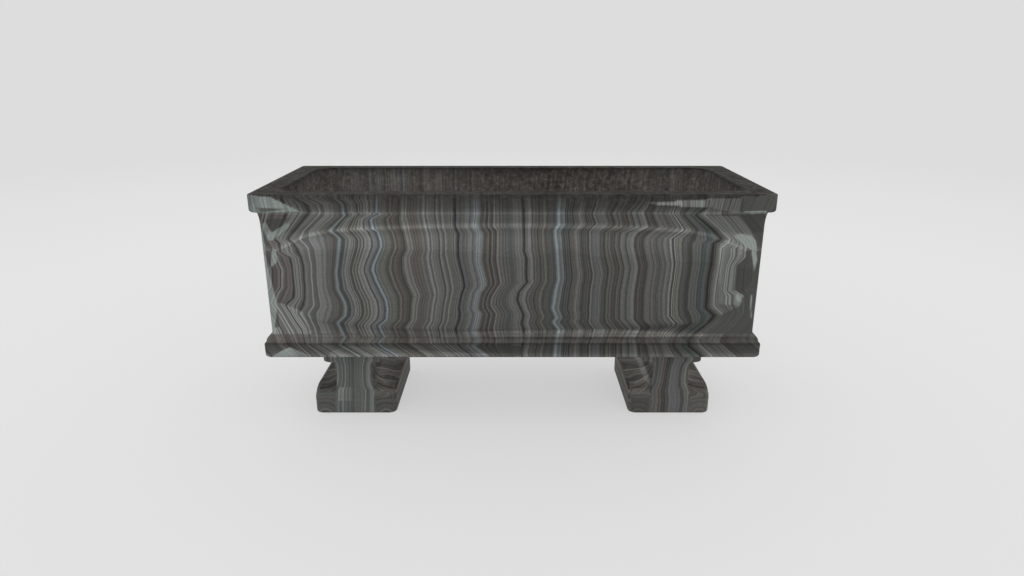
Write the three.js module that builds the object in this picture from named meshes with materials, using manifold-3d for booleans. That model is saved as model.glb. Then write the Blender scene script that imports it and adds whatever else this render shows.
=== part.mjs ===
import * as THREE from 'three';
import { mergeVertices } from 'three/addons/utils/BufferGeometryUtils.js';
import Module from 'manifold-3d';

// A carved stone trough. One hollowed block, with a rim, cushioned walls and a plinth, stands on
// two separate stone feet. Each foot holds it on a thin bed of mortar and two blind dowels.
// Lengths are in millimetres. Z is up, X runs along the trough and its front faces -Y.
// The origin is on the ground under the middle.

// The hollowed block, outside
const rimLength = 1200;
const rimWidth = 452;
const basinHeight = 401;
const outerCornerRadius = 9;
const rimHeight = 43;
const rimTopRadius = 2.5;
const rimBottomRadius = 8;
const wallSetback = 16.5;
const coveHeight = 36;
const coveDepth = 5.5;
const plinthHeight = 38;
const plinthTopRadius = 3.5;
const plinthBottomRadius = 10;
const ogeeHeight = 27;
const ogeeLedge = 4;

// The cushion on each wall: a low relief with a superelliptic outline
const cushionRelief = 6;
const cushionMargin = 18.5;
const cushionSquareness = 3.5;
const cushionEdgePower = 12;

// The hollow
const endRimWidth = 64;
const sideRimWidth = 50;
const hollowCornerRadius = 46;
const hollowTopRadius = 5;
const hollowTaper = 12;
const hollowFillet = 52;
const floorThickness = 62;

// The two feet
const footHeight = 191;
const footWidth = 212;
const footEndDistance = 189.5;
const footSetback = 85;
const footCornerRadius = 6;
const footBaseCornerRadius = 18;
const footBottomRadius = 5;
const footBaseHeight = 63;
const footFrontHeight = 39;
const footShoulderDepth = 50;
const neckWidth = 96;
const scotiaHeight = 36;
const neckHeight = 14;
const neckFlareHeight = 27;
const neckFlareDepth = 10.5;
const quirkHeight = 2;
const capWidth = 150;
const capRoundHeight = 6;
const stemWidth = 95;
const stemSideSlope = 7;
const stemSetback = 13;
const stemFlareHeight = 32;
const capSetback = 5;

// What joins the feet to the block
const bedThickness = 3;
const bedMargin = 7;
const dowelDiameter = 20;
const dowelLength = 60;
const dowelFaceDistance = 56;
const dowelClearance = 0.3;
const cutOverrun = 2;

// Steps of the curved stretches
const longWallSteps = 20;
const endWallSteps = 8;
const cornerSteps = 3;
const arcSteps = 3;
const filletSteps = 5;
const flankSteps = 4;
const dowelSides = 24;

// Points on a quarter of an ellipse, from one angle to the other, both ends included
function arc(centreX, centreY, radiusX, radiusY, startAngle, endAngle, steps) {
  const curve = new THREE.EllipseCurve(
    centreX, centreY, radiusX, radiusY, startAngle, endAngle, endAngle < startAngle,
  );
  return curve.getPoints(steps);
}

// Places from -1 to 1 that crowd towards both ends
function crowdedShares(steps) {
  return Array.from({ length: steps + 1 }, (_, i) => Math.sin((Math.PI / 2) * ((2 * i) / steps - 1)));
}

// A rectangle with round corners, anticlockwise from its front left. Its front and back hold the
// places in acrossShares, and its ends those in alongShares, as shares of the straight stretch.
function roundedRectangle(halfX, halfY, radius, acrossShares, alongShares) {
  const straightX = halfX - radius;
  const straightY = halfY - radius;
  const sides = [
    acrossShares.map((share) => new THREE.Vector2(share * straightX, -halfY)),
    alongShares.map((share) => new THREE.Vector2(halfX, share * straightY)),
    acrossShares.map((share) => new THREE.Vector2(-share * straightX, halfY)),
    alongShares.map((share) => new THREE.Vector2(-halfX, -share * straightY)),
  ];
  const corners = [
    [straightX, -straightY], [straightX, straightY], [-straightX, straightY], [-straightX, -straightY],
  ];
  return sides.flatMap((side, i) => {
    const start = (Math.PI / 2) * (i - 1);
    const turn = arc(corners[i][0], corners[i][1], radius, radius, start, start + Math.PI / 2, cornerSteps);
    return [...side, ...turn.slice(1, -1)];
  });
}

// A closed skin through rings of equal count, with a flat face on the first and the last ring
function loft(rings) {
  const count = rings[0].length;
  const index = [];
  for (let k = 0; k + 1 < rings.length; k += 1) {
    for (let i = 0; i < count; i += 1) {
      const low = k * count;
      const high = low + count;
      const next = (i + 1) % count;
      index.push(low + i, low + next, high + next, low + i, high + next, high + i);
    }
  }
  [0, rings.length - 1].forEach((k) => {
    const outline = rings[k].map((point) => new THREE.Vector2(point.x, point.y));
    THREE.ShapeUtils.triangulateShape(outline, []).forEach(([a, b, c]) => {
      const face = k === 0 ? [c, b, a] : [a, b, c];
      index.push(...face.map((corner) => corner + k * count));
    });
  });
  const geometry = new THREE.BufferGeometry().setFromPoints(rings.flat());
  geometry.setIndex(index);
  return geometry;
}

const wasm = await Module();
wasm.setup();

function toSolid(geometry) {
  geometry.deleteAttribute('normal');
  geometry.deleteAttribute('uv');
  const merged = mergeVertices(geometry);
  return new wasm.Manifold(new wasm.Mesh({
    numProp: 3,
    vertProperties: new Float32Array(merged.attributes.position.array),
    triVerts: new Uint32Array(merged.index.array),
  }));
}

function toGeometry(solid) {
  const mesh = solid.getMesh();
  const geometry = new THREE.BufferGeometry();
  geometry.setAttribute('position', new THREE.BufferAttribute(mesh.vertProperties, 3));
  geometry.setIndex(new THREE.BufferAttribute(mesh.triVerts, 1));
  geometry.computeVertexNormals();
  return geometry;
}

// An upright round bar or hole with its middle at a given height
function uprightCylinder(radius, length, x, y, middle) {
  const geometry = new THREE.CylinderGeometry(radius, radius, length, dowelSides);
  geometry.rotateX(Math.PI / 2);
  geometry.translate(x, y, middle);
  return geometry;
}

const halfLength = rimLength / 2;
const halfWidth = rimWidth / 2;
const footHalfDepth = halfWidth - footSetback;

// The dowels stand a set distance behind the foot's front and back faces
const dowelPlaces = [dowelFaceDistance - footHalfDepth, footHalfDepth - dowelFaceDistance];
const socketRadius = dowelDiameter / 2 + dowelClearance;

// The sockets take half the dowel each, less half the bed that it passes through
const socketDepth = (dowelLength - bedThickness) / 2 + dowelClearance;

// The hollowed block, with its underside at height 0
const coveTop = basinHeight - rimHeight;
const wallTop = coveTop - coveHeight;
const wallBottom = plinthHeight + ogeeHeight;
const wallHeight = wallTop - wallBottom;
const footX = halfLength - footEndDistance;

// Height of the cushion at a place on a wall, as a share of its full relief. The edge is round:
// one less the distance from the centre raised to the edge power, under a root.
function cushionShare(across, halfAcross, height) {
  const up = (2 * (height - wallBottom)) / wallHeight - 1;
  const sideways = Math.min(Math.abs(across) / (halfAcross - wallSetback - cushionMargin), 1);
  const power = cushionSquareness;
  const reach = (sideways ** power + Math.min(Math.abs(up), 1) ** power) ** (1 / power);
  return Math.sqrt(Math.max(1 - reach ** cushionEdgePower, 0));
}

// Outer profile from the underside up: x is the distance behind the rim's face, y the height
function outerProfile() {
  const right = Math.PI / 2;
  const plinthTop = plinthHeight - plinthTopRadius;
  const ovoloDepth = (wallSetback - ogeeLedge) / 2;
  const wallShares = [0, 0.02, 0.06, 0.15, 0.35, 0.65, 0.85, 0.94, 0.98, 1];
  return [
    ...arc(plinthBottomRadius, plinthBottomRadius, plinthBottomRadius, plinthBottomRadius,
      3 * right, 2 * right, arcSteps),
    ...arc(plinthTopRadius, plinthTop, plinthTopRadius, plinthTopRadius, 2 * right, right, arcSteps),
    ...arc(ogeeLedge + ovoloDepth, plinthHeight, ovoloDepth, ogeeHeight / 2, 2 * right, right, arcSteps),
    ...arc(ogeeLedge + ovoloDepth, plinthHeight + ogeeHeight, ovoloDepth, ogeeHeight / 2,
      3 * right, 4 * right, arcSteps).slice(1, -1),
    ...wallShares.map((share) => new THREE.Vector2(wallSetback, wallBottom + share * wallHeight)),
    ...arc(wallSetback - coveDepth, wallTop, coveDepth, coveHeight, 0, right, arcSteps).slice(1),
    ...arc(rimBottomRadius, coveTop + rimBottomRadius, rimBottomRadius, rimBottomRadius,
      3 * right, 2 * right, arcSteps),
    ...arc(rimTopRadius, basinHeight - rimTopRadius, rimTopRadius, rimTopRadius,
      2 * right, right, arcSteps),
  ];
}

// Inner profile from the rim down: x is the distance behind the opening's edge, y the height
function hollowProfile() {
  const right = Math.PI / 2;
  return [
    ...arc(-hollowTopRadius, basinHeight - hollowTopRadius, hollowTopRadius, hollowTopRadius,
      right, 0, arcSteps),
    ...arc(hollowTaper + hollowFillet, floorThickness + hollowFillet, hollowFillet, hollowFillet,
      2 * right, 3 * right, filletSteps),
  ];
}

function basinSkin() {
  const acrossShares = crowdedShares(longWallSteps);
  const alongShares = crowdedShares(endWallSteps);
  const outside = outerProfile().map((place) => {
    const ring = roundedRectangle(
      halfLength - place.x, halfWidth - place.x, outerCornerRadius, acrossShares, alongShares,
    );
    const onWall = place.y > wallBottom && place.y < wallTop;
    return ring.map((point) => {
      const front = onWall ? cushionRelief * cushionShare(point.x, halfLength, place.y) : 0;
      const end = onWall ? cushionRelief * cushionShare(point.y, halfWidth, place.y) : 0;
      const facesFront = Math.abs(point.y) >= halfWidth - place.x;
      const facesEnd = Math.abs(point.x) >= halfLength - place.x;
      return new THREE.Vector3(
        point.x + (facesEnd ? Math.sign(point.x) * end : 0),
        point.y + (facesFront ? Math.sign(point.y) * front : 0),
        place.y,
      );
    });
  });
  const inside = hollowProfile().map((place) => roundedRectangle(
    halfLength - endRimWidth - place.x,
    halfWidth - sideRimWidth - place.x,
    hollowCornerRadius, acrossShares, alongShares,
  ).map((point) => new THREE.Vector3(point.x, point.y, place.y)));
  return loft([...outside, ...inside]);
}

function basinGeometry() {
  let solid = toSolid(basinSkin());
  const length = socketDepth + cutOverrun;
  [-footX, footX].forEach((x) => dowelPlaces.forEach((y) => {
    const socket = uprightCylinder(socketRadius, length, x, y, socketDepth - length / 2);
    solid = solid.subtract(toSolid(socket));
  }));
  return toGeometry(solid);
}

// A foot, with its underside at height 0: a base block, a neck between two hollow flanks and a
// cap. In front and behind, a stem runs down the neck onto the base, whose shoulders are rounded
// back on either side of it.
const footHalfWidth = footWidth / 2;
const neckHalfWidth = neckWidth / 2;
const neckBottom = footBaseHeight + scotiaHeight;
const flareBottom = neckBottom + neckHeight;
const flareTop = flareBottom + neckFlareHeight;
const capBottom = flareTop + quirkHeight;
const capSide = capBottom + capRoundHeight;

// Half widths against height, from the ground up
function flankProfile() {
  const right = Math.PI / 2;
  const waist = neckHalfWidth + neckFlareDepth;
  const capRoundDepth = capWidth / 2 - waist;
  const shoulderShares = [0, 0.3, 0.6, 0.85, 1];
  const shoulderHeight = footBaseHeight - footFrontHeight;
  return [
    ...arc(footHalfWidth - footBottomRadius, footBottomRadius, footBottomRadius, footBottomRadius,
      3 * right, 4 * right, arcSteps),
    ...shoulderShares.map((share) => (
      new THREE.Vector2(footHalfWidth, footFrontHeight + share * shoulderHeight)
    )),
    ...arc(footHalfWidth, neckBottom, footHalfWidth - neckHalfWidth, scotiaHeight,
      3 * right, 2 * right, filletSteps).slice(1),
    ...arc(waist, flareBottom, neckFlareDepth, neckFlareHeight, 2 * right, right, arcSteps),
    ...arc(waist, capSide, capRoundDepth, capRoundHeight, 3 * right, 4 * right, arcSteps),
    new THREE.Vector2(capWidth / 2, footHeight),
  ];
}

// How far the stem's face lies behind the base's
function stemSetbackAt(height) {
  if (height < flareBottom) {
    const rise = THREE.MathUtils.clamp((height - footFrontHeight) / stemFlareHeight, 0, 1);
    return stemSetback * Math.sin((Math.PI / 2) * rise);
  }
  const rise = THREE.MathUtils.clamp((height - flareBottom) / (capSide - flareBottom), 0, 1);
  return THREE.MathUtils.lerp(stemSetback, capSetback, rise ** 2);
}

// How far the shoulders beside the stem lie behind the base's face
function shoulderSetbackAt(height) {
  if (height >= capBottom) {
    return stemSetbackAt(height);
  }
  const rise = (height - footFrontHeight) / (footBaseHeight - footFrontHeight);
  const share = THREE.MathUtils.clamp(rise, 0, 1);
  return footShoulderDepth * (1 - Math.sqrt(1 - share ** 2));
}

// Places across a foot's front, as shares of its straight stretch: the stem, its sloping side
// and the shoulder
function footShares(straight) {
  const stemLimitShare = 0.8;
  const slopeLimitShare = 0.9;
  const stemEdge = Math.min(stemWidth / 2 / straight, stemLimitShare);
  const slopeEdge = Math.min((stemWidth / 2 + stemSideSlope) / straight, slopeLimitShare);
  const half = [stemEdge / 2, stemEdge, slopeEdge, (slopeEdge + 1) / 2, 1];
  return [...half.map((share) => -share).reverse(), 0, ...half];
}

// The upright corners of the base are rounder than the neck's, and ease into them up the flank
function cornerRadiusAt(halfAcross, height) {
  const share = (halfAcross - neckHalfWidth) / (footHalfWidth - neckHalfWidth);
  return height < neckBottom
    ? THREE.MathUtils.lerp(footCornerRadius, footBaseCornerRadius, share)
    : footCornerRadius;
}

function footSkin() {
  const flankShares = crowdedShares(flankSteps);
  const bottomRound = (height) => {
    const below = Math.max(footBottomRadius - height, 0);
    return footBottomRadius - Math.sqrt(footBottomRadius ** 2 - below ** 2);
  };
  return loft(flankProfile().map((place) => {
    const radius = cornerRadiusAt(place.x, place.y);
    const halfDepth = footHalfDepth - bottomRound(place.y);
    const shares = footShares(place.x - radius);
    const ring = roundedRectangle(place.x, halfDepth, radius, shares, flankShares);
    return ring.map((point) => {
      const beside = THREE.MathUtils.smoothstep(
        Math.abs(point.x), stemWidth / 2, stemWidth / 2 + stemSideSlope,
      );
      const setback = THREE.MathUtils.lerp(stemSetbackAt(place.y), shoulderSetbackAt(place.y), beside);
      return new THREE.Vector3(point.x, point.y * (1 - setback / halfDepth), place.y);
    });
  }));
}

function footGeometry() {
  let solid = toSolid(footSkin());
  const length = socketDepth + cutOverrun;
  dowelPlaces.forEach((y) => {
    const middle = footHeight - socketDepth + length / 2;
    solid = solid.subtract(toSolid(uprightCylinder(socketRadius, length, 0, y, middle)));
  });
  return toGeometry(solid);
}

// The mortar bed follows the cap's outline a little inside it, and the dowels pass through it
function bedGeometry() {
  const halfDepth = footHalfDepth - capSetback - bedMargin;
  const outline = new THREE.Shape(roundedRectangle(
    capWidth / 2 - bedMargin, halfDepth, footCornerRadius, [-1, 1], [-1, 1],
  ));
  const slab = new THREE.ExtrudeGeometry(outline, { depth: bedThickness, bevelEnabled: false });
  let solid = toSolid(slab);
  dowelPlaces.forEach((y) => {
    const length = bedThickness + 2 * cutOverrun;
    solid = solid.subtract(toSolid(uprightCylinder(socketRadius, length, 0, y, bedThickness / 2)));
  });
  return toGeometry(solid);
}

function dowelGeometry() {
  const geometry = uprightCylinder(dowelDiameter / 2, dowelLength, 0, 0, 0);
  return toGeometry(toSolid(geometry));
}

const bandedStone = new THREE.MeshStandardMaterial({ color: 0x5e605c, roughness: 0.42, metalness: 0 });
const greenStone = new THREE.MeshStandardMaterial({ color: 0x565b57, roughness: 0.42, metalness: 0 });
const brownStone = new THREE.MeshStandardMaterial({ color: 0x5b5753, roughness: 0.42, metalness: 0 });
const limeMortar = new THREE.MeshStandardMaterial({ color: 0x8b867a, roughness: 0.95, metalness: 0 });
const bronze = new THREE.MeshStandardMaterial({ color: 0x7d6238, roughness: 0.45, metalness: 0.9 });

function place(name, geometry, material, x, y, z) {
  const mesh = new THREE.Mesh(geometry, material);
  mesh.name = name;
  mesh.position.set(x, y, z);
  return mesh;
}

const trough = new THREE.Group();
const basinBottom = footHeight + bedThickness;
trough.add(place('trough_basin', basinGeometry(), bandedStone, 0, 0, basinBottom));

const sides = [
  { name: 'left', x: -footX, stone: greenStone },
  { name: 'right', x: footX, stone: brownStone },
];
const dowelNames = ['front', 'rear'];
sides.forEach((side) => {
  trough.add(place(`${side.name}_foot`, footGeometry(), side.stone, side.x, 0, 0));
  trough.add(place(`${side.name}_bed`, bedGeometry(), limeMortar, side.x, 0, footHeight));
  dowelPlaces.forEach((y, i) => {
    const middle = footHeight + bedThickness / 2;
    const name = `${side.name}_${dowelNames[i]}_dowel`;
    trough.add(place(name, dowelGeometry(), bronze, side.x, y, middle));
  });
});

export default trough;
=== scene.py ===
"""Looks of a banded stone trough on two stone feet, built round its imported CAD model."""

import math

import bmesh
import bpy
import numpy as np
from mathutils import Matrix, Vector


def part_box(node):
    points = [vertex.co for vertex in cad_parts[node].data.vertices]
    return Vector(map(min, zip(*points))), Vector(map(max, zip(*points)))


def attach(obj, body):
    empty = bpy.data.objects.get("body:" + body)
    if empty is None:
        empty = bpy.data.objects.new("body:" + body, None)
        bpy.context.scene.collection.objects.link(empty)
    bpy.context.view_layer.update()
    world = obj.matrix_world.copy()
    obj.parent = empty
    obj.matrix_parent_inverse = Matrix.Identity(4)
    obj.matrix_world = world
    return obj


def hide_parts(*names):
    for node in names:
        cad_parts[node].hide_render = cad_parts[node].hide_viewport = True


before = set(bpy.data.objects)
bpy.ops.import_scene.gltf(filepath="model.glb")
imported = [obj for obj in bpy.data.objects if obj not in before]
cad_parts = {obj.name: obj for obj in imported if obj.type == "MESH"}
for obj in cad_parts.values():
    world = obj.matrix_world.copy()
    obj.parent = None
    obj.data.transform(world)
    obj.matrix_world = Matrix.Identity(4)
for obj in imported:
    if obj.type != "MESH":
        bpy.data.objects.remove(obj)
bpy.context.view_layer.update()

# The photographer stood straight in front of the trough, a little above its rim, and tilted the
# camera down. Distances are from the lens to the rim's front face and to the rim's top.
camera_pitch = math.radians(18.07)
camera_ahead = 1.5554
camera_above_rim = 0.2864
camera_sideways = -0.0009
focal_pixels = 697.4
photo_width_pixels = 1024
photo_middle_x = 512
photo_middle_y = 288
sensor_width = 36

basin_low, basin_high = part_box("trough_basin")
lens = bpy.data.cameras.new("camera")
lens.sensor_width = sensor_width
lens.lens = focal_pixels / photo_width_pixels * sensor_width
camera = bpy.data.objects.new("camera", lens)
camera.location = (camera_sideways, basin_low.y - camera_ahead, basin_high.z + camera_above_rim)
camera.rotation_euler = (math.pi / 2 - camera_pitch, 0, 0)
bpy.context.scene.collection.objects.link(camera)
bpy.context.scene.camera = camera

# The block is one hollowed piece of banded stone, sawn, moulded and rubbed to a soft polish. It
# has a flat rim over a cove, a low cushion on each wall, and an ogee and plinth at its foot.
outer_corner_radius = 0.009
rim_height = 0.043
rim_top_radius = 0.0025
rim_bottom_radius = 0.008
wall_setback = 0.0165
cove_height = 0.036
cove_depth = 0.0055
plinth_height = 0.038
plinth_top_radius = 0.0035
plinth_bottom_radius = 0.010
ogee_height = 0.027
ogee_ledge = 0.004
cushion_relief = 0.006
cushion_margin = 0.0185
cushion_squareness = 3.5
cushion_edge_power = 12
end_rim_width = 0.064
side_rim_width = 0.050
hollow_corner_radius = 0.046
hollow_top_radius = 0.005
hollow_taper = 0.012
hollow_fillet = 0.052
floor_thickness = 0.062

half_length = (basin_high.x - basin_low.x) / 2
half_width = (basin_high.y - basin_low.y) / 2
basin_height = basin_high.z - basin_low.z
cove_top = basin_height - rim_height
wall_top = cove_top - cove_height
wall_bottom = plinth_height + ogee_height


def line(start, end, steps):
    """Evenly spaced points from start to end, both included."""
    return np.linspace(start, end, steps + 1)


def arc(middle, radii, start, end, steps):
    """Points on a circle or ellipse: the middle plus its radii times cosine and sine of angles."""
    angle = np.radians(line(start, end, steps))
    turn = np.column_stack([np.cos(angle), np.sin(angle)])
    return np.asarray(middle) + np.asarray(radii) * turn


def ring_columns(long_steps, short_steps, corner_steps):
    """Columns round a plan with round corners, anticlockwise from the front left.

    Each has a place along the straight sides, from -1 to 1 both ways, and an outward angle.
    """
    sides = []
    ends = [(-1, -1), (1, -1), (1, 1), (-1, 1), (-1, -1)]
    for turn, steps in enumerate([long_steps, short_steps, long_steps, short_steps]):
        along = line(ends[turn], ends[turn + 1], steps)
        sides.append(np.column_stack([along, np.full(steps + 1, 90.0 * (turn - 1))]))
        swing = line(90.0 * (turn - 1), 90.0 * turn, corner_steps)[1:-1]
        sides.append(np.column_stack([np.tile(ends[turn + 1], (len(swing), 1)), swing]))
    return np.concatenate(sides)


def ring_places(columns, half_x, half_y, radius, height):
    """Rings of a lofted skin, one for each row: the straight place times the straight half length,
    plus the corner radius times the outward direction."""
    angle = np.radians(columns[:, 2])
    radius = np.minimum(radius, half_y)[:, None]
    x = columns[:, 0] * (half_x[:, None] - radius) + radius * np.cos(angle)
    y = columns[:, 1] * (half_y[:, None] - radius) + radius * np.sin(angle)
    return np.stack([x, y, np.broadcast_to(height[:, None], x.shape)], axis=-1)


def skin_object(name, places, marks):
    """A closed skin from a grid of rows by columns: each four neighbours make a face, the columns
    close in a ring, and the first and last row, drawn together to a line, are welded."""
    rows, columns = places.shape[:2]
    index = np.arange(rows * columns).reshape(rows, columns)
    beside = np.roll(index, -1, axis=1)
    faces = np.stack([index[:-1], beside[:-1], beside[1:], index[1:]], axis=-1).reshape(-1, 4)
    mesh = bpy.data.meshes.new(name)
    mesh.from_pydata(places.reshape(-1, 3).tolist(), [], faces.tolist())
    for mark, values in marks.items():
        layer = mesh.attributes.new(mark, "FLOAT", "POINT")
        layer.data.foreach_set("value", values.astype(np.float32).ravel())
    shell = bmesh.new()
    shell.from_mesh(mesh)
    bmesh.ops.remove_doubles(shell, verts=shell.verts, dist=1e-6)
    shell.to_mesh(mesh)
    shell.free()
    mesh.shade_smooth()
    piece = bpy.data.objects.new(name, mesh)
    bpy.context.scene.collection.objects.link(piece)
    return piece


underside_steps = 4
ovolo_depth = (wall_setback - ogee_ledge) / 2
ogee_middle = ogee_ledge + ovolo_depth
outer_profile = np.concatenate([
    line((half_width, 0), (plinth_bottom_radius, 0), underside_steps),
    arc((plinth_bottom_radius, plinth_bottom_radius), plinth_bottom_radius, 270, 180, steps=6)[1:],
    line((0, plinth_bottom_radius), (0, plinth_height - plinth_top_radius), steps=7)[1:],
    arc((plinth_top_radius, plinth_height - plinth_top_radius), plinth_top_radius, 180, 90, steps=4)[1:],
    arc((ogee_middle, plinth_height), (ovolo_depth, ogee_height / 2), 180, 90, steps=6),
    arc((ogee_middle, wall_bottom), (ovolo_depth, ogee_height / 2), 270, 360, steps=6)[1:],
    line((wall_setback, wall_bottom), (wall_setback, wall_top), steps=62)[1:],
    arc((wall_setback - cove_depth, wall_top), (cove_depth, cove_height), 0, 90, steps=10)[1:],
    arc((rim_bottom_radius, cove_top + rim_bottom_radius), rim_bottom_radius, 270, 180, steps=6),
    line((0, cove_top + rim_bottom_radius), (0, basin_height - rim_top_radius), steps=8)[1:],
    arc((rim_top_radius, basin_height - rim_top_radius), rim_top_radius, 180, 90, steps=4)[1:],
])
hollow_foot = hollow_taper + hollow_fillet
hollow_profile = np.concatenate([
    arc((-hollow_top_radius, basin_height - hollow_top_radius), hollow_top_radius, 90, 0, steps=4),
    line((0, basin_height - hollow_top_radius), (hollow_taper, floor_thickness + hollow_fillet),
         steps=11)[1:],
    arc((hollow_foot, floor_thickness + hollow_fillet), hollow_fillet, 180, 270, steps=7)[1:],
    line((hollow_foot, floor_thickness), (half_width - side_rim_width, floor_thickness), steps=3)[1:],
])

# Rows of the block's skin: the outside from the underside up, the rim's flat top, the hollow
outside = np.column_stack([
    half_length - outer_profile[:, 0], half_width - outer_profile[:, 0],
    np.full(len(outer_profile), outer_corner_radius), outer_profile[:, 1],
])
hollow = np.column_stack([
    half_length - end_rim_width - hollow_profile[:, 0],
    half_width - side_rim_width - hollow_profile[:, 0],
    np.full(len(hollow_profile), hollow_corner_radius), hollow_profile[:, 1],
])
rim_flat = line(outside[-1], hollow[0], steps=8)[1:-1]
basin_rows = np.concatenate([outside, rim_flat, hollow])
basin_columns = ring_columns(long_steps=226, short_steps=72, corner_steps=7)
basin_places = ring_places(basin_columns, *basin_rows.T)


def cushion_share(across, half_across, height):
    """Relief on a wall, from 0 to 1: the root of one less a high power of the distance from the
    wall's centre, where that distance is superelliptic."""
    up = np.clip(np.abs(2 * (height - wall_bottom) / (wall_top - wall_bottom) - 1), 0, 1)
    sideways = np.abs(across) / (half_across - wall_setback - cushion_margin)
    power = cushion_squareness
    reach = (np.clip(sideways, 0, 1) ** power + up ** power) ** (1 / power)
    return np.sqrt(np.clip(1 - reach ** cushion_edge_power, 0, None))


faces_front = basin_columns[:, 2] % 180 == 90
faces_end = basin_columns[:, 2] % 180 == 0
on_wall = (np.arange(len(basin_rows)) < len(outside))[:, None]
swell = cushion_relief * on_wall
basin_places[..., 1] += swell * faces_front * np.sign(basin_columns[:, 1]) * cushion_share(
    basin_places[..., 0], half_length, basin_places[..., 2])
basin_places[..., 0] += swell * faces_end * np.sign(basin_columns[:, 0]) * cushion_share(
    basin_places[..., 1], half_width, basin_places[..., 2])
basin_places[..., 2] += basin_low.z


def photo_place(places):
    """Pixel across, pixel down and depth at which the camera sees places: their distances ahead
    of and below the lens, turned by the pitch, with the focal length over the depth."""
    ahead = places[..., 1] - camera.location.y
    below = camera.location.z - places[..., 2]
    depth = ahead * math.cos(camera_pitch) + below * math.sin(camera_pitch)
    down = below * math.cos(camera_pitch) - ahead * math.sin(camera_pitch)
    across = photo_middle_x + focal_pixels * (places[..., 0] - camera.location.x) / depth
    return across, photo_middle_y + focal_pixels * down / depth, depth


# The veins from left to right, traced as they cross the front, in pixels across and down
vein_paths = """
266 198, 270 212, 262 239, 270 250, 278 255, 285 270, 285 287, 281 293, 277 303, 294 330, 300 345, 312 356;
283 198, 290 212, 276 239, 281 243, 281 252, 292 257, 296 288, 296 297, 287 305, 293 316, 303 330, 306 345,
320 356;
297 198, 312 204, 315 212, 312 216, 291 239, 298 244, 302 248, 306 265, 308 286, 307.5 305, 301 313,
309 327, 312 345, 330 356;
331 199, 339 204, 340 213, 341 216, 325 231, 332 235, 336 238, 335 248, 334 261, 333 273, 334 288, 340 300,
342 307, 341 315, 334 322, 337 330, 341 338, 336 345, 355 356;
375 200, 375 212, 380 214, 369 219, 371 229, 376.5 231, 379.5 240, 380 246, 372 264, 371 270, 375 280,
385 300, 386.5 310, 385.5 319, 378 325, 379 330, 383 337, 376 343, 380 347, 396 356;
406 200, 405 216, 408 227, 411 238, 413 249, 409 257, 410 266, 414 282, 419.5 295, 417 305, 416 319,
411 327, 413 332, 415 338, 416 344, 433 356;
442 213, 443 227, 446 233, 446.5 253, 449 265, 453.5 288, 450 305, 448 321, 445 327, 447 341, 448 344,
464 356;
477 201, 478 214, 476 226, 481 233, 480 246, 479 259, 484 278, 485 285, 479 292, 476 308, 480 313, 477 325,
475 330, 479 340, 474 346, 487 356;
495 214, 495 227, 499 230, 498.5 259, 502 282, 493 297, 492 304, 498 313, 495 327, 498 341, 497 345,
504 356;
524 200, 525.5 213, 525.5 250, 528 259, 527.5 278, 528.5 281, 520 291, 518.5 299, 525 314, 523 323,
525 329, 525 338, 524 346, 522 352, 523 356;
560 200, 559 214, 559 225, 555 230, 557 250, 559 278, 557 285, 553 308, 557 317, 553 321, 559 329, 557 338,
556 345, 555 356;
607 200, 602 214, 606 224, 597 231, 597 246, 598 257, 601 273, 598.5 290, 598 310, 597 321, 603 329,
600.5 339, 597 345, 597 356;
640 198, 637 203, 628 212, 631.5 227, 616 232, 615 246, 620.5 267, 616 290, 615 318, 625 329, 618 340,
617 356;
666 198, 667 207, 664 213, 671.7 227.5, 657.5 237.5, 656.7 244, 660.8 264, 656.3 294, 656.7 320, 663.3 326,
658 331, 656 338, 661 346, 664 356;
677 198, 678 207, 675 213, 687.5 230, 674 238, 675.8 263, 671.7 294, 670.8 315, 679 323, 666.7 334,
664 340, 664 347, 668 356;
707.5 200, 706.7 208, 696.7 215, 725 239, 715.8 243, 713.3 261, 709.2 282, 707.5 307, 716.7 315, 710 323,
696.7 333, 690 340, 690 346, 704 356;
714 198, 709 214, 735 240, 735 243, 724 248, 720.8 269, 716.7 297, 716.7 304, 726.7 313, 720 323, 708 333,
703 340, 718 356;
724 198, 720 214, 747 247, 745 257, 736 265, 733.3 290, 744 295, 744 312, 735 325, 722 335, 718 341,
735 356;
742 198, 735 214, 757 240, 757 253, 753 266, 752 285, 753 300, 752 312, 745 325, 736 335, 734 341, 752 356
"""
vein_row_pixel = 265

front_face = outer_profile[underside_steps:]
front_profile = np.column_stack([
    np.zeros(len(front_face)), front_face[:, 0] - half_width, front_face[:, 1] + basin_low.z,
])
_, front_down, front_depth = photo_place(front_profile)
front_down = np.minimum.accumulate(front_down)
front_height = front_profile[:, 2]


def traced(text):
    """Pixel pairs written as text, as an array of across and down."""
    return np.array([pair.split() for pair in text.split(",")], float)


def front_metres(pixels, down, depth_at):
    """Distance along the trough of a pixel across, at the depth of the front in that row."""
    return (pixels - photo_middle_x) * np.interp(down, front_down[::-1], depth_at[::-1]) / focal_pixels


vein_tracks = [traced(path) for path in vein_paths.split(";")]
vein_places = np.array([
    front_metres(np.interp(front_down, track[:, 1], track[:, 0]), front_down, front_depth)
    for track in vein_tracks
])
vein_marks = np.array([
    front_metres(np.interp(vein_row_pixel, track[:, 1], track[:, 0]), vein_row_pixel, front_depth)
    for track in vein_tracks
])
far_off = 0.5
vein_places = np.vstack([vein_places[0] - far_off, vein_places, vein_places[-1] + far_off])
vein_marks = np.concatenate([[vein_marks[0] - far_off], vein_marks, [vein_marks[-1] + far_off]])
row_height = np.where(on_wall[:, 0], basin_rows[:, 3], basin_height) + basin_low.z
row_veins = np.array([np.interp(row_height, front_height, track) for track in vein_places])
basin_band = np.array([
    np.interp(xs, np.maximum.accumulate(veins), vein_marks)
    for xs, veins in zip(basin_places[..., 0], row_veins.T)
])

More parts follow.
